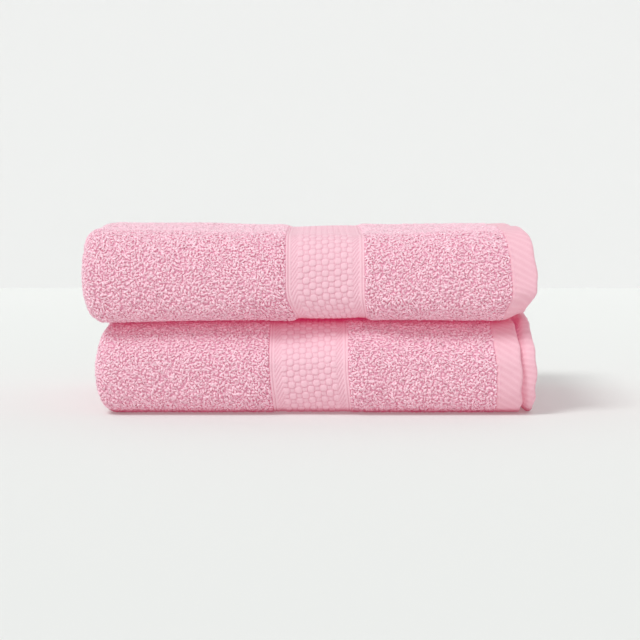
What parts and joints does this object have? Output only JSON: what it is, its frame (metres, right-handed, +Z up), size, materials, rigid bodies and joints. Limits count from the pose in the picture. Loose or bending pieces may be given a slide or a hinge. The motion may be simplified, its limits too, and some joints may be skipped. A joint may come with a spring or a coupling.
{
  "type": "bath towel set",
  "caption": "Folded pink terry bath towels stacked in a pair, each with a honeycomb dobby border and flat end hems; the upper one lifts off and its top flap opens",
  "frame": {"origin": "centre of the base of the stack, on the surface that it rests on", "axes": "+X along the length of the stack towards the towels' end hems, +Y towards the back, away from the front folds, +Z up"},
  "size_m": [0.3361, 0.2461, 0.1363],
  "materials": {
    "pile": "looped cotton terry pile, baby pink, matt",
    "border": "flat-woven cotton dobby border with a raised honeycomb, baby pink, matt",
    "hem": "flat diagonal-twill cotton hem, baby pink, matt",
    "thread": "pink sewing thread, slight sheen"
  },
  "bodies": {
    "lower_towel": {"lower_outer_end_hem": "hem", "lower_outer_end_pile": "pile", "lower_outer_border": "border", "lower_main_pile": "pile", "lower_inner_border": "border", "lower_inner_end_pile": "pile", "lower_inner_end_hem": "hem", "lower_outer_end_seam": "thread", "lower_inner_end_seam": "thread", "lower_top_side_hem": "hem", "lower_top_side_seam": "thread", "lower_tucked_side_hem": "hem", "lower_tucked_side_seam": "thread"},
    "upper_towel": {"upper_base_outer_end_hem": "hem", "upper_base_outer_end_pile": "pile", "upper_base_outer_border": "border", "upper_base_main_pile": "pile", "upper_base_inner_border": "border", "upper_base_inner_end_pile": "pile", "upper_base_inner_end_hem": "hem", "upper_base_outer_end_seam": "thread", "upper_base_inner_end_seam": "thread", "upper_tucked_side_hem": "hem", "upper_tucked_side_seam": "thread", "upper_fold_outer_end_hem": "hem", "upper_fold_outer_end_pile": "pile", "upper_fold_outer_border": "border", "upper_fold_main_pile": "pile", "upper_fold_inner_border": "border", "upper_fold_inner_end_pile": "pile", "upper_fold_inner_end_hem": "hem", "upper_fold_outer_end_seam": "thread", "upper_fold_inner_end_seam": "thread"},
    "upper_flap": {"upper_flap_outer_end_hem": "hem", "upper_flap_outer_end_pile": "pile", "upper_flap_outer_border": "border", "upper_flap_main_pile": "pile", "upper_flap_inner_border": "border", "upper_flap_inner_end_pile": "pile", "upper_flap_inner_end_hem": "hem", "upper_flap_outer_end_seam": "thread", "upper_flap_inner_end_seam": "thread", "upper_top_side_hem": "hem", "upper_top_side_seam": "thread"}
  },
  "joints": [
    {"name": "upper_towel_lift", "type": "slide", "parent": "lower_towel", "child": "upper_towel", "axis": [0, 0, 1], "range_m": [0, 0.1]},
    {"name": "upper_flap_hinge", "type": "hinge", "parent": "upper_towel", "child": "upper_flap", "pos_m": [0, -0.08905, 0.10235], "axis": [1, 0, 0], "range_deg": [0, 90], "deforming": ["upper_fold_outer_end_hem", "upper_fold_outer_end_pile", "upper_fold_outer_border", "upper_fold_main_pile", "upper_fold_inner_border", "upper_fold_inner_end_pile", "upper_fold_inner_end_hem", "upper_fold_outer_end_seam", "upper_fold_inner_end_seam"]}
  ]
}
